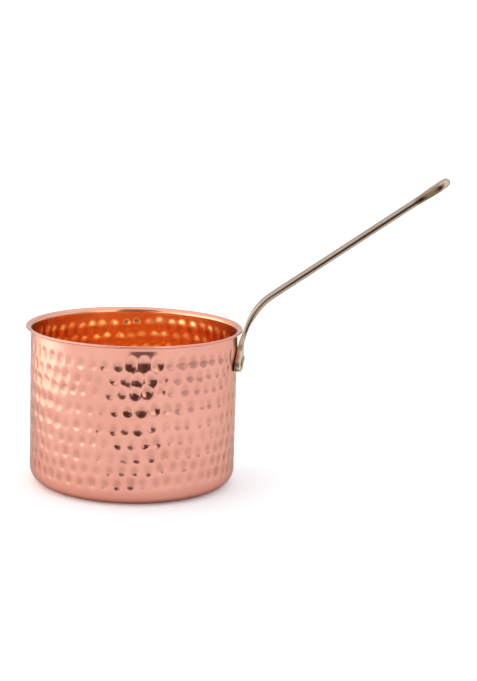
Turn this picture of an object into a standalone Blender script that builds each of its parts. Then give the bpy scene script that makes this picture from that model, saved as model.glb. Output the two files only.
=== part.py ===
"""Hammered copper saucepan with a long brass handle on two rivets.

Metres, +Z up. The origin is the centre of the base's underside, on the pan's axis, and the handle reaches
out and up along +X. Run it with blender --background --python part.py, or from Blender's text editor.
"""

import math
from random import Random

import bmesh
import bpy
from mathutils import Matrix, Vector

# Pan: one copper sheet, drawn to a straight wall, with its lip turned out flat
PAN_DIAMETER = 0.140
PAN_HEIGHT = 0.107
SHEET = 0.0012
BASE_CORNER_RADIUS = 0.0105
LIP_WIDTH = 0.0032
LIP_BEND_RADIUS = 0.0018

# Hammering: rows of blows round the wall, each a shallow dent outside and a low bump inside
DENTS_PER_ROW = 52
DENT_DEPTH = 0.0006
DENT_STRAY = 0.13
ROW_WANDER = 0.0012
PLAIN_BAND = 0.0076
PLAIN_BY_FOOT = 0.003
BLOW_SEED = 7
# How far each row, from the bottom up, strays from an even grid: along it and up, in its own spacings
ROW_STRAYS = (
    (0.86, 0.05),
    (0.18, -0.10),
    (0.46, -0.15),
    (0.87, -0.18),
    (0.49, -0.19),
    (0.69, 0.02),
    (0.10, 0.20),
    (0.40, 0.01),
    (0.79, 0.00),
)

# Gap that neighbouring solids keep
GAP = 0.0003

# Handle: its course up the wall, past the lip and out
FOOT_BELOW_TOP = 0.0275
FOOT_SEAT = 0.0138
FOOT_BEND_RADIUS = 0.024
NECK_PAST_TOP = 0.0009
GRIP_BEND_RADIUS = 0.0458
GRIP_ANGLE = math.radians(35.65)
GRIP_LENGTH = 0.1396

# Handle: its widths, thicknesses and squareness along that course, from 2 for an oval to 6 for a slab
FOOT_WIDTH = 0.028
FOOT_WIDEST = 0.0045
FOOT_LENGTH = 0.018
FOOT_THICKNESS = 0.0041
FOOT_EDGE = 0.0020
FOOT_SQUARENESS = 6.0
NECK_THICKNESS = 0.0032
NECK_SWELL = 0.014
BAR_WIDTH = 0.010
BAR_THICKNESS = 0.0048
BAR_SQUARENESS = 3.2
TIP_WIDTH = 0.016
TIP_THICKNESS = 0.0056
TIP_SQUARENESS = 4.3
TIP_SWELL = 0.017
TIP_FULL = 0.012
TIP_NOSE = 0.006

# Rivets: side by side through the foot and the wall, each set in from the foot's own side
RIVET_BELOW_TOP = 0.021
RIVET_FROM_SIDE = 0.0075
RIVET_SHANK_RADIUS = 0.0020
RIVET_HEAD_RADIUS = 0.0042
RIVET_HEAD_HEIGHT = 0.0016
RIVET_PEEN_RADIUS = 0.0032
RIVET_PEEN_HEIGHT = 0.00045

# Mesh fineness
STEPS_PER_DENT = 2
RIVET_STEPS = 20
SECTION_POINTS = 18

# Values that follow from the sizes above
WALL_OUTSIDE = PAN_DIAMETER / 2
WALL_INSIDE = WALL_OUTSIDE - SHEET
LIP_OUTSIDE = WALL_OUTSIDE + LIP_WIDTH
PAN_STEPS = STEPS_PER_DENT * DENTS_PER_ROW
DENT_PITCH = 2 * math.pi / DENTS_PER_ROW
ROW_PITCH = (PAN_HEIGHT - PLAIN_BAND - BASE_CORNER_RADIUS) / len(ROW_STRAYS)
FOOT_INSIDE = WALL_OUTSIDE + GAP
FOOT_OUTSIDE = FOOT_INSIDE + FOOT_THICKNESS
FOOT_BOTTOM = PAN_HEIGHT - FOOT_BELOW_TOP
RIVET_LEVEL = PAN_HEIGHT - RIVET_BELOW_TOP
RIVET_HOLE_RADIUS = RIVET_SHANK_RADIUS + GAP
RIVET_SPACING = FOOT_WIDTH - 2 * RIVET_FROM_SIDE
RIVET_ANGLE = math.asin(RIVET_SPACING / 2 / WALL_OUTSIDE)


def clear_scene():
    for obj in list(bpy.data.objects):
        bpy.data.objects.remove(obj, do_unlink=True)


def new_collection(name):
    collection = bpy.data.collections.new(name)
    bpy.context.scene.collection.children.link(collection)
    return collection


def metal(name, colour, roughness):
    material = bpy.data.materials.new(name)
    material.use_nodes = True
    shader = material.node_tree.nodes["Principled BSDF"]
    shader.inputs["Base Color"].default_value = (*colour, 1.0)
    shader.inputs["Metallic"].default_value = 1.0
    shader.inputs["Roughness"].default_value = roughness
    return material


def add_object(name, mesh, collection, material=None):
    obj = bpy.data.objects.new(name, mesh)
    collection.objects.link(obj)
    if material:
        mesh.materials.append(material)
    return obj


def mesh_from(bm, name):
    mesh = bpy.data.meshes.new(name)
    bm.to_mesh(mesh)
    bm.free()
    return mesh


def shade_round(mesh, sharp_angle=40):
    mesh.shade_smooth()
    mesh.set_sharp_from_angle(angle=math.radians(sharp_angle))


def arc(centre, radius, start, end, steps):
    """Points on an arc in the (radius, height) plane; the angles are in degrees from +radius."""
    points = []
    for step in range(steps + 1):
        angle = math.radians(start + (end - start) * step / steps)
        points.append((centre[0] + radius * math.cos(angle), centre[1] + radius * math.sin(angle)))
    return points


def turned_mesh(name, profile, steps):
    """The closed solid that a (radius, height) profile sweeps round Z; both its ends are on the axis."""
    bm = bmesh.new()
    verts = [bm.verts.new((radius, 0.0, height)) for radius, height in profile]
    for first, second in zip(verts, verts[1:]):
        bm.edges.new((first, second))
    blank = bpy.data.objects.new(name, mesh_from(bm, name))
    bpy.context.scene.collection.objects.link(blank)
    screw = blank.modifiers.new("Turn", "SCREW")
    screw.axis = "Z"
    screw.steps = steps
    screw.render_steps = steps
    screw.use_merge_vertices = True
    screw.merge_threshold = 0.00001
    bpy.context.view_layer.update()
    evaluated = blank.evaluated_get(bpy.context.evaluated_depsgraph_get())
    mesh = bpy.data.meshes.new_from_object(evaluated)
    mesh.name = name
    bpy.data.objects.remove(blank, do_unlink=True)
    shade_round(mesh)
    return mesh


def pan_profile():
    """The sheet's outline: along the base inside, up, over the lip, down outside and back to the axis."""
    corner_centre = (WALL_OUTSIDE - BASE_CORNER_RADIUS, BASE_CORNER_RADIUS)
    lip_centre = (WALL_OUTSIDE + LIP_BEND_RADIUS, PAN_HEIGHT - SHEET - LIP_BEND_RADIUS)
    edge_centre = (LIP_OUTSIDE - SHEET / 2, PAN_HEIGHT - SHEET / 2)
    wall_lines = [BASE_CORNER_RADIUS + ROW_PITCH * line / 2 for line in range(1, 2 * len(ROW_STRAYS) + 1)]
    profile = [(0.0, SHEET)]
    profile += arc(corner_centre, BASE_CORNER_RADIUS - SHEET, -90, 0, 4)
    profile += [(WALL_INSIDE, height) for height in wall_lines]
    profile += arc(lip_centre, LIP_BEND_RADIUS + SHEET, 180, 90, 3)
    profile += arc(edge_centre, SHEET / 2, 90, -90, 3)
    profile += arc(lip_centre, LIP_BEND_RADIUS, 90, 180, 2)
    profile += [(WALL_OUTSIDE, height) for height in reversed(wall_lines)]
    profile += arc(corner_centre, BASE_CORNER_RADIUS, 0, -90, 4)
    profile.append((0.0, 0.0))
    return profile


def hammer_blows():
    """Each row's blows as (azimuth, height, push inwards), spaced unevenly as hand work is."""
    random = Random(BLOW_SEED)
    rows = []
    for row, (along, up) in enumerate(ROW_STRAYS):
        blows = []
        for place in range(DENTS_PER_ROW):
            azimuth = (place + along + random.uniform(-DENT_STRAY, DENT_STRAY)) * DENT_PITCH
            height = row_height(row + 0.5 + up + random.uniform(-DENT_STRAY, DENT_STRAY) / 2, azimuth)
            push = DENT_DEPTH * random.uniform(0.75, 1.25)
            blows.append((azimuth, height, 0.0 if by_foot(azimuth, height) else push))
        rows.append(blows)
    return rows


def row_height(row, azimuth):
    """The height that many row pitches up the wall, with the slow rise and fall of rows laid by eye."""
    return BASE_CORNER_RADIUS + ROW_PITCH * row + ROW_WANDER * math.sin(3 * azimuth + 4.35)


def by_foot(azimuth, height):
    """True on the part of the wall that the handle's foot covers, which is left plain."""
    across = math.remainder(azimuth, 2 * math.pi) * WALL_OUTSIDE
    return abs(across) < FOOT_WIDTH / 2 + PLAIN_BY_FOOT and height > FOOT_BOTTOM - PLAIN_BY_FOOT


def hammer(mesh):
    """Moves the wall's points, alike on both faces of the sheet: odd lines run through a row's blows."""
    rows = hammer_blows()
    for vertex in mesh.vertices:
        radius = math.hypot(vertex.co.x, vertex.co.y)
        line = round(2 * (vertex.co.z - BASE_CORNER_RADIUS) / ROW_PITCH)
        on_wall = min(abs(radius - WALL_OUTSIDE), abs(radius - WALL_INSIDE)) < GAP / 10
        if not on_wall or not 0 < line < 2 * len(rows):
            continue
        column = round(PAN_STEPS * math.atan2(vertex.co.y, vertex.co.x) / (2 * math.pi))
        azimuth, height, push = hammered_point(column, line, rows)
        radius -= push
        vertex.co = (radius * math.cos(azimuth), radius * math.sin(azimuth), height)


def hammered_point(column, line, rows):
    """Where a crossing of the wall's grid goes: (azimuth, height, push inwards)."""
    azimuth = column * DENT_PITCH / STEPS_PER_DENT
    if line % 2 == 0:
        return azimuth, row_height(line / 2, azimuth), 0.0
    row = line // 2
    along, up = ROW_STRAYS[row]
    half_pitches = round(2 * along)
    if (column - half_pitches) % 2 == 0:
        return rows[row][(column - half_pitches) // 2 % DENTS_PER_ROW]
    azimuth += (along - half_pitches / 2) * DENT_PITCH
    return azimuth, row_height(line / 2 + up, azimuth), 0.0


def rivet_profile():
    """Along the rivet's axis: the peened head outside, the shank and the domed head inside the pan."""
    head_seat = math.sqrt(WALL_INSIDE**2 - RIVET_HEAD_RADIUS**2) - GAP
    peen_seat = FOOT_OUTSIDE + GAP
    profile = [(0.0, peen_seat + RIVET_PEEN_HEIGHT)]
    for step in range(1, 5):
        turn = math.radians(90 * step / 4)
        profile.append((RIVET_PEEN_RADIUS * math.sin(turn), peen_seat + RIVET_PEEN_HEIGHT * math.cos(turn)))
    profile.append((RIVET_SHANK_RADIUS, peen_seat))
    profile.append((RIVET_SHANK_RADIUS, head_seat))
    for step in range(5):
        turn = math.radians(90 * step / 4)
        profile.append((RIVET_HEAD_RADIUS * math.cos(turn), head_seat - RIVET_HEAD_HEIGHT * math.sin(turn)))
    profile[-1] = (0.0, profile[-1][1])
    return profile


def radial_matrix(angle, level):
    """Turns a shape that lies along Z to point out from the pan's axis, at an angle and a level."""
    outwards = Matrix.Rotation(angle, 4, "Z") @ Matrix.Rotation(math.pi / 2, 4, "Y")
    return Matrix.Translation((0.0, 0.0, level)) @ outwards


def rivet_hole_cutters(collection):
    cutters = []
    for side in (-1, 1):
        bm = bmesh.new()
        reach = FOOT_OUTSIDE - WALL_INSIDE + 4 * SHEET
        bmesh.ops.create_cone(
            bm,
            cap_ends=True,
            segments=RIVET_STEPS,
            radius1=RIVET_HOLE_RADIUS,
            radius2=RIVET_HOLE_RADIUS,
            depth=reach,
            matrix=Matrix.Translation((0.0, 0.0, (FOOT_OUTSIDE + WALL_INSIDE) / 2)),
        )
        cutter = add_object(f"rivet_hole_{side}", mesh_from(bm, "rivet_hole"), collection)
        cutter.matrix_world = radial_matrix(side * RIVET_ANGLE, RIVET_LEVEL)
        cutter.hide_render = True
        cutter.display_type = "WIRE"
        cutters.append(cutter)
    return cutters


def cut_holes(obj, cutters):
    for cutter in cutters:
        cut = obj.modifiers.new(cutter.name, "BOOLEAN")
        cut.operation = "DIFFERENCE"
        cut.solver = "EXACT"
        cut.object = cutter


def lean_past_lip():
    """How far from upright the neck leans, so that its inner face just clears the lip's round edge."""
    inner_bend = FOOT_BEND_RADIUS + NECK_THICKNESS / 2
    bend_centre = FOOT_INSIDE + (FOOT_THICKNESS - NECK_THICKNESS) / 2 + inner_bend
    lip_edge = SHEET / 2 + GAP
    out = LIP_OUTSIDE - SHEET / 2 - bend_centre
    up = PAN_HEIGHT - SHEET / 2 - FOOT_BOTTOM - FOOT_SEAT
    return math.atan2(out, up) + math.asin((inner_bend + lip_edge) / math.hypot(out, up))


def handle_course():
    """The straight and curved stretches of the handle's middle line: (length, turn away from upright)."""
    lean = lean_past_lip()
    foot_bend = FOOT_BEND_RADIUS * lean
    risen = FOOT_SEAT + FOOT_BEND_RADIUS * math.sin(lean)
    neck = (FOOT_BELOW_TOP + NECK_PAST_TOP - risen) / math.cos(lean)
    grip_turn = math.pi / 2 - GRIP_ANGLE - lean
    return [
        (FOOT_SEAT, 0.0),
        (foot_bend, lean),
        (neck, 0.0),
        (GRIP_BEND_RADIUS * grip_turn, grip_turn),
        (GRIP_LENGTH, 0.0),
    ]


def along_course(course, distance):
    """The middle line's (radius, height) and its angle from upright, that distance up from the foot."""
    point = Vector((FOOT_INSIDE + FOOT_THICKNESS / 2, FOOT_BOTTOM))
    angle = 0.0
    for length, turn in course:
        step = min(distance, length)
        swing = turn * step / length
        chord = step * (math.sin(swing / 2) / (swing / 2) if swing else 1.0)
        point += chord * Vector((math.sin(angle + swing / 2), math.cos(angle + swing / 2)))
        angle += swing
        distance -= step
        if distance <= 0.0:
            break
    return point, angle


def ease(start, end, share):
    """From start to end, level at both, as share goes from 0 to 1."""
    share = min(1.0, max(0.0, share))
    return start + (end - start) * (1 - math.cos(math.pi * share)) / 2


def rounded_end(distance, depth, fullness):
    """The share of its full size that a rounded end has at a distance from its very end."""
    share = min(1.0, max(0.0, distance / depth))
    return (1 - (1 - share) ** fullness) ** (1 / fullness)


def handle_section(distance, total):
    """The bar's width, thickness and squareness at a distance from the foot's end."""
    left = total - distance
    width = ease(FOOT_WIDTH, BAR_WIDTH, (distance - FOOT_WIDEST) / (FOOT_LENGTH - FOOT_WIDEST))
    width += ease(TIP_WIDTH - BAR_WIDTH, 0.0, (left - TIP_NOSE) / TIP_SWELL)
    width *= rounded_end(distance, FOOT_WIDEST, 2.6) * rounded_end(left, TIP_NOSE, 2.3)
    thickness = ease(FOOT_THICKNESS, NECK_THICKNESS, (distance - FOOT_SEAT) / NECK_SWELL)
    thickness += ease(0.0, BAR_THICKNESS - NECK_THICKNESS, (distance - FOOT_BELOW_TOP) / NECK_SWELL)
    thickness += ease(TIP_THICKNESS - BAR_THICKNESS, 0.0, (left - TIP_FULL) / TIP_SWELL)
    thickness *= rounded_end(distance, FOOT_EDGE, 2.0) * rounded_end(left, TIP_NOSE, 2.6)
    squareness = ease(FOOT_SQUARENESS, BAR_SQUARENESS, (distance - FOOT_LENGTH) / FOOT_BELOW_TOP)
    squareness += ease(TIP_SQUARENESS - BAR_SQUARENESS, 0.0, (left - TIP_FULL) / TIP_SWELL)
    return width, thickness, squareness


def handle_stations(course):
    """Distances along the handle at which a section stands, closest together at its ends and bends."""
    total = sum(length for length, turn in course)
    bend_start = sum(length for length, turn in course[:3])
    bend_end = total - GRIP_LENGTH
    swell_start = total - TIP_FULL - TIP_SWELL

    def spread(start, end, count):
        return [start + (end - start) * step / count for step in range(count)]

    stations = [FOOT_EDGE * (1 - math.cos(math.radians(angle))) for angle in (15, 30, 45, 60, 75)]
    stations += spread(FOOT_EDGE, FOOT_LENGTH, 10)
    stations += spread(FOOT_LENGTH, bend_start, 4)
    stations += spread(bend_start, bend_end, 12)
    stations += spread(bend_end, swell_start, 5)
    stations += spread(swell_start, total - TIP_NOSE, 6)
    nose_angles = (0, 20, 38, 54, 68, 80)
    stations += [total - TIP_NOSE * (1 - math.sin(math.radians(angle))) for angle in nose_angles]
    return stations, total


def section_ring(width, thickness, squareness):
    """Points (across, through) round a section: an oval at squareness 2, nearly a rectangle at 6."""
    ring = []
    for step in range(SECTION_POINTS):
        angle = 2 * math.pi * step / SECTION_POINTS
        across = math.cos(angle)
        through = max(0.0, 1 - abs(across) ** squareness) ** (1 / squareness)
        ring.append((width / 2 * across, math.copysign(thickness / 2 * through, math.sin(angle))))
    return ring


def handle_point(centre, angle, wrap, across, through):
    """A section point in the pan's frame: the foot wraps round the wall, the bar above it doesn't."""
    radius = centre.x - through * math.cos(angle)
    height = centre.y + through * math.sin(angle)
    turn = across / FOOT_INSIDE
    x = radius * (1 - wrap * (1 - math.cos(turn)))
    y = across + wrap * (radius * math.sin(turn) - across)
    return x, y, height


def handle_mesh():
    """A loft of unlike sections along the course: a curved spade foot, a rounded bar and a swollen tip."""
    course = handle_course()
    stations, total = handle_stations(course)
    bm = bmesh.new()
    rings = []
    for distance in stations:
        centre, angle = along_course(course, distance)
        wrap = ease(1.0, 0.0, (distance - FOOT_SEAT) / FOOT_SEAT)
        ring = section_ring(*handle_section(distance, total))
        rings.append([bm.verts.new(handle_point(centre, angle, wrap, *point)) for point in ring])
    for lower, upper in zip(rings, rings[1:]):
        for index in range(SECTION_POINTS):
            after = (index + 1) % SECTION_POINTS
            bm.faces.new((lower[index], upper[index], upper[after], lower[after]))
    bm.faces.new(rings[0])
    bm.faces.new(reversed(rings[-1]))
    bmesh.ops.recalc_face_normals(bm, faces=bm.faces)
    mesh = mesh_from(bm, "handle")
    shade_round(mesh, 60)
    return mesh


def build():
    clear_scene()
    parts = new_collection("saucepan")
    cutter_collection = new_collection("cutters")
    copper = metal("hammered_copper", (0.86, 0.42, 0.30), 0.16)
    brass = metal("polished_brass", (0.78, 0.60, 0.36), 0.14)
    rivet_brass = metal("rivet_brass", (0.74, 0.56, 0.34), 0.22)
    cutters = rivet_hole_cutters(cutter_collection)

    pan_mesh = turned_mesh("pan_body", pan_profile(), PAN_STEPS)
    hammer(pan_mesh)
    pan = add_object("pan_body", pan_mesh, parts, copper)
    cut_holes(pan, cutters)
    handle = add_object("handle", handle_mesh(), parts, brass)
    cut_holes(handle, cutters)
    rivet_mesh = turned_mesh("rivet", rivet_profile(), RIVET_STEPS)
    rivet_mesh.materials.append(rivet_brass)
    for name, side in (("rivet_left", -1), ("rivet_right", 1)):
        rivet = add_object(name, rivet_mesh, parts)
        rivet.matrix_world = radial_matrix(side * RIVET_ANGLE, RIVET_LEVEL)


build()
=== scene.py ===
"""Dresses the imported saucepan: hammered copper, polished brass, a pale studio and the photograph's camera.

Metres, +Z up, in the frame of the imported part: the origin is the centre of the base's underside, and the
handle reaches out along +X.
"""

import math
from random import Random

import bmesh
import bpy
import numpy as np
from mathutils import Matrix, Vector


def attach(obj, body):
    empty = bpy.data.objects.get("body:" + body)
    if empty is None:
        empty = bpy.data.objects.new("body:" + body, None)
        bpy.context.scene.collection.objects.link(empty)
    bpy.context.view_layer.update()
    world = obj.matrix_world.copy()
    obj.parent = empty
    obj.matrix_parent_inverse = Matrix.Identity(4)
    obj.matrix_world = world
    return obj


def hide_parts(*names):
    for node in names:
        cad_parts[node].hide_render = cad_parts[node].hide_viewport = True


# Pan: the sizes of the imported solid, which the finer mesh keeps
WALL_OUTSIDE = 0.070
PAN_HEIGHT = 0.107
SHEET = 0.0012
BASE_CORNER_RADIUS = 0.0105
LIP_WIDTH = 0.0032
LIP_BEND_RADIUS = 0.0018
WALL_INSIDE = WALL_OUTSIDE - SHEET

# Hammering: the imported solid's blows, whose dents are round-bottomed ovals here
DENTS_PER_ROW = 52
DENT_DEPTH = 0.00060
DENT_DEPTH_SPREAD = 0.25
DENT_STRAY = 0.13
ROW_WANDER = 0.0012
WANDER_WAVES = 3
WANDER_START = 4.35
PLAIN_BAND = 0.0076
PLAIN_BY_FOOT = 0.003
BLOW_SEED = 7
ROW_STRAYS = (
    (0.86, 0.05),
    (0.18, -0.10),
    (0.46, -0.15),
    (0.87, -0.18),
    (0.49, -0.19),
    (0.69, 0.02),
    (0.10, 0.20),
    (0.40, 0.01),
    (0.79, 0.00),
)
DENT_PITCH = 2 * math.pi / DENTS_PER_ROW
ROW_PITCH = (PAN_HEIGHT - PLAIN_BAND - BASE_CORNER_RADIUS) / len(ROW_STRAYS)
DENT_HALF_WIDTH = 0.0041
DENT_HALF_HEIGHT = 0.0049
DENT_SIZE_SPREAD = 0.12
DENT_ROUNDNESS = 1.2

# Handle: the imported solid's course, widths and thicknesses, with sharper edges on the foot
GAP = 0.0003
FOOT_BELOW_TOP = 0.0275
FOOT_SEAT = 0.0138
FOOT_BEND_RADIUS = 0.024
NECK_PAST_TOP = 0.0009
GRIP_BEND_RADIUS = 0.0458
GRIP_ANGLE = math.radians(35.65)
GRIP_LENGTH = 0.1396
FOOT_WIDTH = 0.028
FOOT_WIDEST = 0.0045
FOOT_LENGTH = 0.018
FOOT_THICKNESS = 0.0041
FOOT_EDGE = 0.0020
FOOT_SQUARENESS = 12.0
NECK_THICKNESS = 0.0032
NECK_SWELL = 0.014
BAR_WIDTH = 0.010
BAR_THICKNESS = 0.0048
BAR_SQUARENESS = 3.2
TIP_WIDTH = 0.016
TIP_THICKNESS = 0.0056
TIP_SQUARENESS = 4.3
TIP_SWELL = 0.017
TIP_FULL = 0.012
TIP_NOSE = 0.006
FOOT_OUTLINE_FULLNESS = 2.6
TIP_OUTLINE_FULLNESS = 2.3
FOOT_EDGE_FULLNESS = 2.0
TIP_EDGE_FULLNESS = 2.6
FOOT_INSIDE = WALL_OUTSIDE + GAP
FOOT_OUTSIDE = FOOT_INSIDE + FOOT_THICKNESS
FOOT_BOTTOM = PAN_HEIGHT - FOOT_BELOW_TOP
LIP_OUTSIDE = WALL_OUTSIDE + LIP_WIDTH

# Rivet holes through the wall and the foot
RIVET_FROM_SIDE = 0.0075
RIVET_SPACING = FOOT_WIDTH - 2 * RIVET_FROM_SIDE
RIVET_BELOW_TOP = 0.021
RIVET_HOLE_RADIUS = 0.0023

# Mesh: how fine it is, and how near the wall a point has to be to count as on it
STEPS_PER_DENT = 9
LINES_PER_ROW = 8
PLAIN_LINES = 3
HANDLE_STEPS = 160
SECTION_POINTS = 56
HOLE_STEPS = 32
TOLERANCE = 0.00001

# Copper: where the paler inside colour, painted to stand in for the light bouncing round the inside, fades
# out below the lip, and how it weakens at the floor
INSIDE_ENDS = PAN_HEIGHT - 0.001
INSIDE_FADE = 0.003
FLOOR_FADE = 0.012
FLOOR_SHARE = 0.5

# Brass: heights between which the foot's painted highlight and painted shade end, and distances from the tip
# between which the tip's painted shade and painted highlight do
PALE_FOOT_ENDS = (0.100, 0.109)
SHADED_FOOT_ENDS = (0.085, 0.094)
PAINTED_TIP_SHADE_SPAN = (0.007, 0.026)
TIP_SHADE_BLUR = 0.007
PAINTED_TIP_END_LIGHT = (0.005, 0.008)

# Brass: where a section's sides end under its upper face, on the way from -1 below to 1 above
FLAT_SIDES_END = (0.70, 0.92)

# Camera: fitted to the outline of the pan in the photograph
CAMERA_PLACE = Vector((0.1351, -1.1005, 0.3173))
CAMERA_AIM = Vector((0.0704, 0.0041, 0.0990))
CAMERA_ROLL = math.radians(1.857)
CAMERA_LENS = 87.9

# Floor: white, with a glow that only the camera sees, which lifts it to the white behind it
FLOOR_RADIUS = 30.0
FLOOR_WHITE = (0.96, 0.96, 0.96)
FLOOR_GLOW = (0.12, 0.15, 0.16)

# Studio: a bright surround and panels over it, in degrees right of the camera and above the horizon
SURROUND = (1.25, 1.25, 1.25)
DARK_ROOM = (0.08, 0.027, 0.025)
DIM_ROOM = (0.66, 0.66, 0.70)
BLACK = (0.0, 0.0, 0.0)
WHITE = (1.0, 1.0, 1.0)
PANELS = (
    # left, right, low, high, blur, colour
    (-122, -50, -4, 27, 16, (2.82, 2.55, 2.42)),
    (24, 60, 6, 27, 10, (1.72, 1.70, 1.70)),
    (48, 160, -6, 48, 20, (0.98, 1.03, 1.14)),
    (46, 124, -8, 14, 12, DIM_ROOM),
    (2, 20, -6, 24, 8, DARK_ROOM),
    (-24, -10, -6, 6, 4, DARK_ROOM),
    (-14, 4, -6, 16, 6, DARK_ROOM),
    (-32, 20, 14, 60, 8, (0.34, 0.25, 0.22)),
)
# Reflections see the white floor only as far as a table would reach, and then the room: metres from the axis
TABLE_PANELS = (
    # left, right, blur, near, far, colour
    (-128, -84, 40, 0.30, 0.40, (2.30, 2.20, 2.08)),
    (-28, -4, 5, 1.00, 1.30, DARK_ROOM),
    (-4, 22, 5, 0.42, 0.50, DARK_ROOM),
    (38, 120, 14, 0.58, 0.92, DIM_ROOM),
)


def mesh_from(bm, name):
    mesh = bpy.data.meshes.new(name)
    bm.to_mesh(mesh)
    bm.free()
    return mesh


def arc(centre, radius, start, end, steps):
    """Points on an arc in the (radius, height) plane; the angles are in degrees from +radius."""
    points = []
    for step in range(steps + 1):
        angle = math.radians(start + (end - start) * step / steps)
        points.append((centre[0] + radius * math.cos(angle), centre[1] + radius * math.sin(angle)))
    return points


def pan_profile():
    """The sheet's outline: along the base inside, up, over the lip, down outside and back to the axis."""
    corner_centre = (WALL_OUTSIDE - BASE_CORNER_RADIUS, BASE_CORNER_RADIUS)
    lip_centre = (WALL_OUTSIDE + LIP_BEND_RADIUS, PAN_HEIGHT - SHEET - LIP_BEND_RADIUS)
    edge_centre = (LIP_OUTSIDE - SHEET / 2, PAN_HEIGHT - SHEET / 2)
    lines = len(ROW_STRAYS) * LINES_PER_ROW + PLAIN_LINES
    wall_lines = [
        BASE_CORNER_RADIUS + (lip_centre[1] - BASE_CORNER_RADIUS) * line / lines for line in range(1, lines)
    ]
    profile = [(corner_centre[0] * step / 3, SHEET) for step in range(3)]
    profile += arc(corner_centre, BASE_CORNER_RADIUS - SHEET, -90, 0, 8)
    profile += [(WALL_INSIDE, height) for height in wall_lines]
    profile += arc(lip_centre, LIP_BEND_RADIUS + SHEET, 180, 90, 8)
    profile += arc(edge_centre, SHEET / 2, 90, -90, 8)
    profile += arc(lip_centre, LIP_BEND_RADIUS, 90, 180, 6)
    profile += [(WALL_OUTSIDE, height) for height in reversed(wall_lines)]
    profile += arc(corner_centre, BASE_CORNER_RADIUS, 0, -90, 12)
    profile += [(corner_centre[0] * (2 - step) / 3, 0.0) for step in range(3)]
    return profile


def add_values(mesh, name, values):
    """Stores a number for each point, which a material can read by that name."""
    mesh.attributes.new(name, "FLOAT", "POINT").data.foreach_set("value", values)


def hammer_blows():
    """Every blow as (azimuth, height, push inwards, size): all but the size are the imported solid's."""
    random = Random(BLOW_SEED)
    sizes = Random(BLOW_SEED + 1)
    blows = []
    for row, (along, up) in enumerate(ROW_STRAYS):
        for place in range(DENTS_PER_ROW):
            azimuth = (place + along + random.uniform(-DENT_STRAY, DENT_STRAY)) * DENT_PITCH
            height = row_height(row + 0.5 + up + random.uniform(-DENT_STRAY, DENT_STRAY) / 2, azimuth)
            push = DENT_DEPTH * random.uniform(1 - DENT_DEPTH_SPREAD, 1 + DENT_DEPTH_SPREAD)
            size = sizes.uniform(1 - DENT_SIZE_SPREAD, 1 + DENT_SIZE_SPREAD)
            if not by_foot(azimuth, height):
                blows.append((azimuth, height, push, size))
    return blows


def row_height(row, azimuth):
    """The height that many row pitches up the wall, with the slow rise and fall of rows laid by eye."""
    wander = ROW_WANDER * math.sin(WANDER_WAVES * azimuth + WANDER_START)
    return BASE_CORNER_RADIUS + ROW_PITCH * row + wander


def by_foot(azimuth, height):
    """True on the part of the wall that the handle's foot covers, which is left plain."""
    across = math.remainder(azimuth, 2 * math.pi) * WALL_OUTSIDE
    return abs(across) < FOOT_WIDTH / 2 + PLAIN_BY_FOOT and height > FOOT_BOTTOM - PLAIN_BY_FOOT


def hammered_depth(azimuth, height):
    """How far the blows push the wall in at points on it."""
    depth = np.zeros_like(azimuth)
    for centre, level, push, size in hammer_blows():
        across = (azimuth - centre + math.pi) % (2 * math.pi) - math.pi
        across = across * WALL_OUTSIDE / (DENT_HALF_WIDTH * size)
        along = (height - level) / (DENT_HALF_HEIGHT * size)
        depth = np.maximum(depth, push * np.clip(1 - across**2 - along**2, 0, 1) ** DENT_ROUNDNESS)
    return depth


def faces_inside(radius, height):
    """1 at points on the inside of the wall, less on the floor, 0 on the outer face and the lip's edge."""
    corner = WALL_OUTSIDE - BASE_CORNER_RADIUS
    in_corner = (radius > corner) & (height < BASE_CORNER_RADIUS)
    from_centre = np.hypot(radius - corner, height - BASE_CORNER_RADIUS)
    past_wall = radius > WALL_OUTSIDE - SHEET / 2
    outside = np.where(in_corner, from_centre > BASE_CORNER_RADIUS - SHEET / 2, past_wall)
    share = np.clip((INSIDE_ENDS - height) / INSIDE_FADE, 0, 1)
    share *= np.clip(height / FLOOR_FADE, FLOOR_SHARE, 1)
    return np.where((height > SHEET / 2) & ~outside, share, 0.0)


def turned_mesh(profile, steps):
    """The closed solid that a (radius, height) profile sweeps round Z; both its ends are on the axis."""
    bm = bmesh.new()
    verts = [bm.verts.new((radius, 0.0, height)) for radius, height in profile]
    for first, second in zip(verts, verts[1:]):
        bm.edges.new((first, second))
    blank = bpy.data.objects.new("pan_blank", mesh_from(bm, "pan_blank"))
    bpy.context.scene.collection.objects.link(blank)
    screw = blank.modifiers.new("Turn", "SCREW")
    screw.axis = "Z"
    screw.steps = steps
    screw.render_steps = steps
    screw.use_merge_vertices = True
    screw.merge_threshold = 0.000001
    bpy.context.view_layer.update()
    mesh = bpy.data.meshes.new_from_object(blank.evaluated_get(bpy.context.evaluated_depsgraph_get()))
    bpy.data.objects.remove(blank)
    return mesh


def pan_mesh():
    """The turned sheet, hammered, with the numbers that the copper reads at each point."""
    mesh = turned_mesh(pan_profile(), DENTS_PER_ROW * STEPS_PER_DENT)
    places = np.zeros(len(mesh.vertices) * 3)
    mesh.vertices.foreach_get("co", places)
    places = places.reshape(-1, 3)
    radius = np.hypot(places[:, 0], places[:, 1])
    azimuth = np.arctan2(places[:, 1], places[:, 0])
    on_wall = (radius > WALL_INSIDE - TOLERANCE) & (radius < WALL_OUTSIDE + TOLERANCE)
    depth = np.where(on_wall, hammered_depth(azimuth, places[:, 2]), 0.0)
    shrink = (radius - depth) / np.maximum(radius, 1e-9)
    places[:, 0] *= shrink
    places[:, 1] *= shrink
    mesh.vertices.foreach_set("co", places.ravel())
    add_values(mesh, "dent", depth / DENT_DEPTH)
    add_values(mesh, "inside", faces_inside(radius, places[:, 2]))
    mesh.update()
    mesh.shade_smooth()
    return mesh


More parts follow.
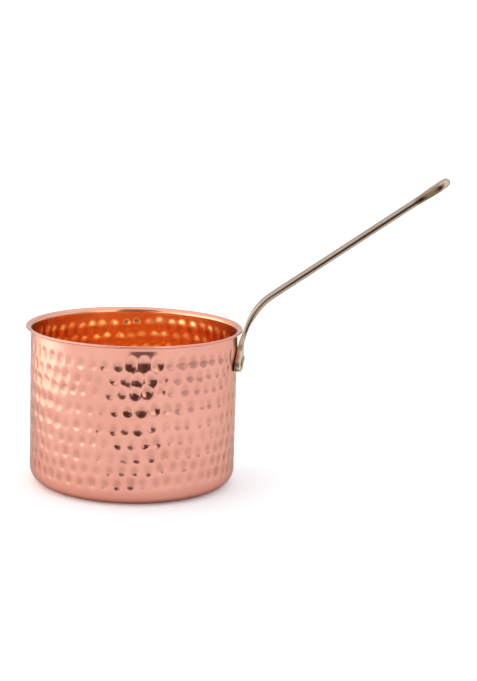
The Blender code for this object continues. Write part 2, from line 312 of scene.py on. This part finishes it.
def new_material(name):
    material = bpy.data.materials.new(name)
    material.use_nodes = True
    return material, material.node_tree, material.node_tree.nodes["Principled BSDF"]


def feed(tree, node, key, value):
    """Links a socket to a node's input, or sets a plain value on it."""
    if isinstance(value, bpy.types.NodeSocket):
        tree.links.new(value, node.inputs[key])
    elif isinstance(value, tuple) and len(value) == 3 and node.inputs[key].type == "RGBA":
        node.inputs[key].default_value = (*value, 1.0)
    else:
        node.inputs[key].default_value = value


def math_node(tree, operation, *values):
    node = tree.nodes.new("ShaderNodeMath")
    node.operation = operation
    for index, value in enumerate(values):
        feed(tree, node, index, value)
    return node.outputs["Value"]


def mix_colour(tree, share, first, second):
    """A mix of two colours. The node's inputs for them are 6 and 7, and its output for the result is 2."""
    node = tree.nodes.new("ShaderNodeMix")
    node.data_type = "RGBA"
    feed(tree, node, "Factor", share)
    feed(tree, node, 6, first)
    feed(tree, node, 7, second)
    return node.outputs[2]


def map_range(tree, value, low, high, start, end, kind="LINEAR"):
    node = tree.nodes.new("ShaderNodeMapRange")
    node.interpolation_type = kind
    feed(tree, node, "Value", value)
    feed(tree, node, "From Min", low)
    feed(tree, node, "From Max", high)
    feed(tree, node, "To Min", start)
    feed(tree, node, "To Max", end)
    return node.outputs["Result"]


def window(tree, value, low, high, blur):
    """1 between low and high, falling smoothly to 0 over the blur on either side."""
    rise = map_range(tree, value, low - blur / 2, low + blur / 2, 0.0, 1.0, "SMOOTHSTEP")
    fall = map_range(tree, value, high - blur / 2, high + blur / 2, 1.0, 0.0, "SMOOTHSTEP")
    return math_node(tree, "MULTIPLY", rise, fall)


def attribute(tree, name):
    node = tree.nodes.new("ShaderNodeAttribute")
    node.attribute_name = name
    return node.outputs["Fac"]


def object_place(tree, scale=(1.0, 1.0, 1.0)):
    """The point's place on its object, stretched along the axes."""
    coordinates = tree.nodes.new("ShaderNodeTexCoord")
    mapping = tree.nodes.new("ShaderNodeMapping")
    mapping.inputs["Scale"].default_value = scale
    tree.links.new(coordinates.outputs["Object"], mapping.inputs["Vector"])
    return mapping.outputs["Vector"]


def separate(tree, vector):
    node = tree.nodes.new("ShaderNodeSeparateXYZ")
    tree.links.new(vector, node.inputs["Vector"])
    return node


def noise(tree, place, scale, detail, roughness):
    node = tree.nodes.new("ShaderNodeTexNoise")
    feed(tree, node, "Vector", place)
    feed(tree, node, "Scale", scale)
    feed(tree, node, "Detail", detail)
    feed(tree, node, "Roughness", roughness)
    return node.outputs["Fac"]


def bump(tree, height, strength, distance):
    node = tree.nodes.new("ShaderNodeBump")
    feed(tree, node, "Strength", strength)
    feed(tree, node, "Distance", distance)
    feed(tree, node, "Height", height)
    return node.outputs["Normal"]


def copper_material():
    """Polished copper: bright on the ridges, darker in the dents with painted shade that grows towards the
    base, and deeper coloured inside, where a paler copper is painted to stand in for the light bouncing
    round the inside.
    """
    material, tree, shader = new_material("hammered_copper")
    place = object_place(tree)
    patches = map_range(tree, noise(tree, place, 38.0, 4.0, 0.55), 0.35, 0.65, 0.0, 1.0)
    # Painted shade: the dents are darkened, unevenly and more towards the base, to stand in for the darker
    # surroundings they reflect.
    dent_shade_strength = map_range(tree, noise(tree, place, 110.0, 3.0, 0.55), 0.35, 0.65, 0.40, 0.95)
    painted_shade_near_base = map_range(tree, separate(tree, place).outputs["Z"], 0.01, 0.045, 1.35, 1.0)
    dent_shade_strength = math_node(tree, "MULTIPLY", dent_shade_strength, painted_shade_near_base)
    painted_dent_shade = map_range(tree, attribute(tree, "dent"), 0.1, 1.2, 0.0, dent_shade_strength, "SMOOTHSTEP")
    colour = mix_colour(tree, patches, (0.76, 0.355, 0.27), (0.80, 0.385, 0.30))
    colour = mix_colour(tree, painted_dent_shade, colour, (0.56, 0.26, 0.19))
    # Painted light: the paler, yellower copper inside stands in for the light bouncing round the inside of
    # the pan.
    inside = attribute(tree, "inside")
    colour = mix_colour(tree, inside, colour, (0.97, 0.58, 0.26))
    feed(tree, shader, "Base Color", colour)
    shader.inputs["Metallic"].default_value = 1.0
    shader.inputs["Specular Tint"].default_value = (0.62, 0.60, 0.57, 1.0)
    smears = noise(tree, object_place(tree, (1.0, 1.0, 3.0)), 120.0, 5.0, 0.6)
    roughness = map_range(tree, smears, 0.3, 0.7, 0.12, 0.18)
    feed(tree, shader, "Roughness", math_node(tree, "MULTIPLY_ADD", inside, 0.06, roughness))
    peel = noise(tree, place, 900.0, 2.0, 0.5)
    feed(tree, shader, "Normal", bump(tree, peel, 0.05, 0.00005))
    return material


def polished_brass(tree, shader, light, dark):
    """What both brasses share: faint tarnish in patches and fine polishing lines, which it gives back."""
    patches = map_range(tree, noise(tree, object_place(tree), 70.0, 4.0, 0.6), 0.38, 0.68, 0.0, 1.0)
    lines = noise(tree, object_place(tree, (1.0, 6.0, 1.0)), 300.0, 3.0, 0.6)
    shader.inputs["Metallic"].default_value = 1.0
    shader.inputs["Specular Tint"].default_value = (0.50, 0.48, 0.45, 1.0)
    feed(tree, shader, "Normal", bump(tree, lines, 0.10, 0.00008))
    return mix_colour(tree, patches, light, dark), lines


def handle_brass():
    """Duller on the foot and paler there with a painted highlight, with painted shade beside the wall and on
    the tip's sides, and a painted highlight, rougher too, at the tip's end.
    """
    material, tree, shader = new_material("handle_brass")
    colour, lines = polished_brass(tree, shader, (0.45, 0.36, 0.29), (0.39, 0.31, 0.24))
    place = object_place(tree)
    height = separate(tree, place).outputs["Z"]
    rise = attribute(tree, "rise")
    # Painted highlight: the foot is made paler, in cloudy patches, to stand in for the bright light it
    # reflects.
    near_foot = map_range(tree, height, *PALE_FOOT_ENDS, 1.0, 0.0, "SMOOTHSTEP")
    cloudy = map_range(tree, noise(tree, place, 160.0, 4.0, 0.6), 0.35, 0.65, 0.0, 1.0)
    foot = mix_colour(tree, cloudy, (0.77, 0.65, 0.49), (0.64, 0.53, 0.39))
    colour = mix_colour(tree, near_foot, colour, foot)
    by_wall = map_range(tree, rise, -0.8, 0.2, 0.0, 1.0)
    shaded = math_node(tree, "MULTIPLY", by_wall, map_range(tree, height, *SHADED_FOOT_ENDS, 1.0, 0.0))
    colour = mix_colour(tree, shaded, colour, (0.30, 0.235, 0.185))
    from_tip = attribute(tree, "from_tip")
    # Painted shade: the tip's sides and underside are darker than its upper face.
    sides = map_range(tree, rise, *FLAT_SIDES_END, 1.0, 0.0)
    painted_tip_shade = math_node(tree, "MULTIPLY", sides, window(tree, from_tip, *PAINTED_TIP_SHADE_SPAN, TIP_SHADE_BLUR))
    colour = mix_colour(tree, painted_tip_shade, colour, (0.20, 0.145, 0.09))
    # Painted highlight: the tip's end is paler, and rougher too.
    tip_end = map_range(tree, from_tip, *PAINTED_TIP_END_LIGHT, 1.0, 0.0, "SMOOTHSTEP")
    painted_tip_end_light = math_node(tree, "MULTIPLY", sides, tip_end)
    feed(tree, shader, "Base Color", mix_colour(tree, painted_tip_end_light, colour, (0.60, 0.49, 0.38)))
    roughness = map_range(tree, lines, 0.3, 0.7, 0.056, 0.104)
    roughness = math_node(tree, "MULTIPLY_ADD", near_foot, 0.24, roughness)
    feed(tree, shader, "Roughness", math_node(tree, "MULTIPLY_ADD", painted_tip_end_light, 0.30, roughness))
    return material


def rivet_brass():
    """A little duller than the handle's brass, as hammered rivets are."""
    material, tree, shader = new_material("rivet_brass")
    colour, lines = polished_brass(tree, shader, (0.58, 0.48, 0.34), (0.48, 0.38, 0.27))
    feed(tree, shader, "Base Color", colour)
    feed(tree, shader, "Roughness", map_range(tree, lines, 0.3, 0.7, 0.10, 0.20))
    return material


def lean_past_lip():
    """How far from upright the neck leans, so that its inner face just clears the lip's round edge."""
    inner_bend = FOOT_BEND_RADIUS + NECK_THICKNESS / 2
    bend_centre = FOOT_INSIDE + (FOOT_THICKNESS - NECK_THICKNESS) / 2 + inner_bend
    lip_edge = SHEET / 2 + GAP
    out = LIP_OUTSIDE - SHEET / 2 - bend_centre
    up = PAN_HEIGHT - SHEET / 2 - FOOT_BOTTOM - FOOT_SEAT
    return math.atan2(out, up) + math.asin((inner_bend + lip_edge) / math.hypot(out, up))


def handle_course():
    """The straight and curved stretches of the handle's middle line: (length, turn away from upright)."""
    lean = lean_past_lip()
    foot_bend = FOOT_BEND_RADIUS * lean
    risen = FOOT_SEAT + FOOT_BEND_RADIUS * math.sin(lean)
    neck = (FOOT_BELOW_TOP + NECK_PAST_TOP - risen) / math.cos(lean)
    grip_turn = math.pi / 2 - GRIP_ANGLE - lean
    return [
        (FOOT_SEAT, 0.0),
        (foot_bend, lean),
        (neck, 0.0),
        (GRIP_BEND_RADIUS * grip_turn, grip_turn),
        (GRIP_LENGTH, 0.0),
    ]


def along_course(course, distance):
    """The middle line's (radius, height) and its angle from upright, that distance up from the foot."""
    point = Vector((FOOT_INSIDE + FOOT_THICKNESS / 2, FOOT_BOTTOM))
    angle = 0.0
    for length, turn in course:
        step = min(distance, length)
        swing = turn * step / length
        chord = step * (math.sin(swing / 2) / (swing / 2) if swing else 1.0)
        point += chord * Vector((math.sin(angle + swing / 2), math.cos(angle + swing / 2)))
        angle += swing
        distance -= step
        if distance <= 0.0:
            break
    return point, angle


def ease(start, end, share):
    """From start to end, level at both, as share goes from 0 to 1."""
    share = min(1.0, max(0.0, share))
    return start + (end - start) * (1 - math.cos(math.pi * share)) / 2


def rounded_end(distance, depth, fullness):
    """How much of its full size a rounded end has at a distance from its very end; fullness 2 is an oval."""
    share = min(1.0, max(0.0, distance / depth))
    return (1 - (1 - share) ** fullness) ** (1 / fullness)


def handle_section(distance, total):
    """The bar's width, thickness and squareness at a distance from the foot's end."""
    left = total - distance
    width = ease(FOOT_WIDTH, BAR_WIDTH, (distance - FOOT_WIDEST) / (FOOT_LENGTH - FOOT_WIDEST))
    width += ease(TIP_WIDTH - BAR_WIDTH, 0.0, (left - TIP_NOSE) / TIP_SWELL)
    width *= rounded_end(distance, FOOT_WIDEST, FOOT_OUTLINE_FULLNESS)
    width *= rounded_end(left, TIP_NOSE, TIP_OUTLINE_FULLNESS)
    thickness = ease(FOOT_THICKNESS, NECK_THICKNESS, (distance - FOOT_SEAT) / NECK_SWELL)
    thickness += ease(0.0, BAR_THICKNESS - NECK_THICKNESS, (distance - FOOT_BELOW_TOP) / NECK_SWELL)
    thickness += ease(TIP_THICKNESS - BAR_THICKNESS, 0.0, (left - TIP_FULL) / TIP_SWELL)
    thickness *= rounded_end(distance, FOOT_EDGE, FOOT_EDGE_FULLNESS)
    thickness *= rounded_end(left, TIP_NOSE, TIP_EDGE_FULLNESS)
    squareness = ease(FOOT_SQUARENESS, BAR_SQUARENESS, (distance - FOOT_LENGTH) / FOOT_BELOW_TOP)
    squareness += ease(TIP_SQUARENESS - BAR_SQUARENESS, 0.0, (left - TIP_FULL) / TIP_SWELL)
    return width, thickness, squareness


def handle_stations(course):
    """Distances along the handle at which a section stands, closest together at its rounded ends."""
    total = sum(length for length, turn in course)
    body = total - FOOT_EDGE - TIP_NOSE
    stations = [FOOT_EDGE * (1 - math.cos(math.radians(angle))) for angle in range(15, 90, 15)]
    stations += [FOOT_EDGE + body * step / HANDLE_STEPS for step in range(HANDLE_STEPS)]
    stations += [total - TIP_NOSE * (1 - math.sin(math.radians(angle))) for angle in range(0, 85, 8)]
    return stations, total


def section_ring(width, thickness, squareness):
    """Points (across, through) round a section: an oval at squareness 2, nearly a rectangle at 12."""
    ring = []
    for step in range(SECTION_POINTS):
        angle = 2 * math.pi * step / SECTION_POINTS
        across = width / 2 * abs(math.cos(angle)) ** (2 / squareness)
        through = thickness / 2 * abs(math.sin(angle)) ** (2 / squareness)
        ring.append((math.copysign(across, math.cos(angle)), math.copysign(through, math.sin(angle))))
    return ring


def handle_point(centre, angle, wrap, across, through):
    """A section point in the pan's frame: the foot is bent round the wall, its two sides kept parallel."""
    radius = centre.x - through * math.cos(angle)
    height = centre.y + through * math.sin(angle)
    turn = across / FOOT_INSIDE
    x = radius - wrap * FOOT_INSIDE * (1 - math.cos(turn))
    y = across + wrap * (FOOT_INSIDE * math.sin(turn) - across)
    return x, y, height


def handle_mesh():
    """A loft of sections along the course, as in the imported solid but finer.

    The brass reads each point's distance from the tip and its rise, which goes from -1 on the outer or lower
    face to 1 on the inner or upper one.
    """
    course = handle_course()
    stations, total = handle_stations(course)
    bm = bmesh.new()
    rings = []
    from_tip = []
    rise = []
    for distance in stations:
        centre, angle = along_course(course, distance)
        wrap = ease(1.0, 0.0, (distance - FOOT_SEAT) / FOOT_SEAT)
        width, thickness, squareness = handle_section(distance, total)
        ring = section_ring(width, thickness, squareness)
        rings.append([bm.verts.new(handle_point(centre, angle, wrap, *point)) for point in ring])
        from_tip += [total - distance] * SECTION_POINTS
        rise += [2 * through / thickness for across, through in ring]
    for lower, upper in zip(rings, rings[1:]):
        for index in range(SECTION_POINTS):
            after = (index + 1) % SECTION_POINTS
            bm.faces.new((lower[index], upper[index], upper[after], lower[after]))
    bm.faces.new(rings[0])
    bm.faces.new(reversed(rings[-1]))
    bmesh.ops.recalc_face_normals(bm, faces=bm.faces)
    mesh = mesh_from(bm, "handle")
    add_values(mesh, "from_tip", from_tip)
    add_values(mesh, "rise", rise)
    mesh.shade_smooth()
    mesh.set_sharp_from_angle(angle=math.radians(60))
    return mesh


def rivet_holes(obj):
    """Cuts the two holes that the rivets pass through."""
    angle = math.asin(RIVET_SPACING / 2 / WALL_OUTSIDE)
    for side in (-1, 1):
        bm = bmesh.new()
        bmesh.ops.create_cone(
            bm,
            cap_ends=True,
            segments=HOLE_STEPS,
            radius1=RIVET_HOLE_RADIUS,
            radius2=RIVET_HOLE_RADIUS,
            depth=FOOT_OUTSIDE - WALL_INSIDE + 4 * SHEET,
            matrix=Matrix.Translation((0.0, 0.0, (FOOT_OUTSIDE + WALL_INSIDE) / 2)),
        )
        cutter = bpy.data.objects.new("rivet_hole", mesh_from(bm, "rivet_hole"))
        bpy.context.scene.collection.objects.link(cutter)
        turn = Matrix.Rotation(side * angle, 4, "Z") @ Matrix.Rotation(math.pi / 2, 4, "Y")
        cutter.matrix_world = Matrix.Translation((0.0, 0.0, PAN_HEIGHT - RIVET_BELOW_TOP)) @ turn
        cut = obj.modifiers.new("Hole", "BOOLEAN")
        cut.operation = "DIFFERENCE"
        cut.solver = "EXACT"
        cut.object = cutter
        bpy.context.view_layer.update()
        evaluated = obj.evaluated_get(bpy.context.evaluated_depsgraph_get())
        holed = bpy.data.meshes.new_from_object(evaluated)
        obj.modifiers.remove(cut)
        obj.data = holed
        bpy.data.objects.remove(cutter)


def add_piece(name, mesh, material, node):
    """A finer mesh with its rivet holes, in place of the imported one."""
    piece = bpy.data.objects.new(name, mesh)
    bpy.context.scene.collection.objects.link(piece)
    rivet_holes(piece)
    piece.data.materials.clear()
    piece.data.materials.append(material)
    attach(piece, "root")
    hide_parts(node)


def turned_to_camera(tree, kind):
    """Coordinates turned about Z until the camera lies along +X: degrees right of it, and x, y, z."""
    coordinates = tree.nodes.new("ShaderNodeTexCoord")
    mapping = tree.nodes.new("ShaderNodeMapping")
    mapping.inputs["Rotation"].default_value = (0.0, 0.0, -math.atan2(CAMERA_PLACE.y, CAMERA_PLACE.x))
    tree.links.new(coordinates.outputs[kind], mapping.inputs["Vector"])
    parts = separate(tree, mapping.outputs["Vector"])
    turn = math_node(tree, "ARCTAN2", parts.outputs["Y"], parts.outputs["X"])
    return math_node(tree, "DEGREES", turn), parts


def floor_material():
    """White, but black and glowing in a panel's colour where reflections see past the table's edge."""
    material, tree, shader = new_material("pale_floor")
    azimuth, parts = turned_to_camera(tree, "Object")
    distance = math_node(tree, "POWER", parts.outputs["X"], 2.0)
    distance = math_node(tree, "ADD", distance, math_node(tree, "POWER", parts.outputs["Y"], 2.0))
    distance = math_node(tree, "SQRT", distance)
    rays = tree.nodes.new("ShaderNodeLightPath")
    mirrored = rays.outputs["Is Glossy Ray"]
    colour = FLOOR_WHITE
    glow = mix_colour(tree, rays.outputs["Is Camera Ray"], BLACK, FLOOR_GLOW)
    for left, right, blur, near, far, panel in TABLE_PANELS:
        share = map_range(tree, distance, near, far, 0.0, 1.0, "SMOOTHSTEP")
        share = math_node(tree, "MULTIPLY", share, window(tree, azimuth, left, right, blur))
        share = math_node(tree, "MULTIPLY", share, mirrored)
        colour = mix_colour(tree, share, colour, BLACK)
        glow = mix_colour(tree, share, glow, panel)
    feed(tree, shader, "Base Color", colour)
    feed(tree, shader, "Emission Color", glow)
    shader.inputs["Emission Strength"].default_value = 1.0
    shader.inputs["Roughness"].default_value = 0.9
    shader.inputs["Specular IOR Level"].default_value = 0.1
    return material


def add_floor():
    bm = bmesh.new()
    bmesh.ops.create_circle(bm, cap_ends=True, segments=64, radius=FLOOR_RADIUS)
    floor = bpy.data.objects.new("floor", mesh_from(bm, "floor"))
    bpy.context.scene.collection.objects.link(floor)
    floor.data.materials.append(floor_material())


def world_light():
    """Soft light from all round, with brighter and darker panels; seen directly it is plain white."""
    world = bpy.data.worlds.new("studio")
    bpy.context.scene.world = world
    world.use_nodes = True
    tree = world.node_tree
    azimuth, parts = turned_to_camera(tree, "Generated")
    elevation = math_node(tree, "DEGREES", math_node(tree, "ARCSINE", parts.outputs["Z"]))
    colour = SURROUND
    for left, right, low, high, blur, panel in PANELS:
        share = math_node(
            tree,
            "MULTIPLY",
            window(tree, azimuth, left, right, blur),
            window(tree, elevation, low, high, blur),
        )
        colour = mix_colour(tree, share, colour, panel)
    seen = tree.nodes.new("ShaderNodeLightPath").outputs["Is Camera Ray"]
    feed(tree, tree.nodes["Background"], "Color", mix_colour(tree, seen, colour, WHITE))
    tree.nodes["Background"].inputs["Strength"].default_value = 1.0


def add_camera():
    camera = bpy.data.objects.new("camera", bpy.data.cameras.new("camera"))
    bpy.context.scene.collection.objects.link(camera)
    camera.data.lens = CAMERA_LENS
    camera.data.sensor_width = 36.0
    camera.data.clip_start = 0.01
    camera.data.clip_end = 100.0
    look = (CAMERA_AIM - CAMERA_PLACE).to_track_quat("-Z", "Y").to_matrix().to_4x4()
    camera.matrix_world = Matrix.Translation(CAMERA_PLACE) @ look @ Matrix.Rotation(CAMERA_ROLL, 4, "Z")
    bpy.context.scene.camera = camera


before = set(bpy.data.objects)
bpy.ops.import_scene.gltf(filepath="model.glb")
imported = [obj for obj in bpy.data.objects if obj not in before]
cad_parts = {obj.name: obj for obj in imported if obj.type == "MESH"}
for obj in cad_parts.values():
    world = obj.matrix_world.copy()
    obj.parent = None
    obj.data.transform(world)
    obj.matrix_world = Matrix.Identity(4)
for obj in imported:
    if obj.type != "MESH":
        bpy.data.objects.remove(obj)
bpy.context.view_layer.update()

add_camera()
add_floor()
world_light()
add_piece("hammered_pan", pan_mesh(), copper_material(), "pan_body")
add_piece("forged_handle", handle_mesh(), handle_brass(), "handle")
rivet_material = rivet_brass()
for node in ("rivet_left", "rivet_right"):
    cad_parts[node].data.materials.clear()
    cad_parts[node].data.materials.append(rivet_material)

bpy.context.scene.view_settings.view_transform = "Standard"
bpy.context.scene.cycles.max_bounces = 16
bpy.context.scene.cycles.glossy_bounces = 12
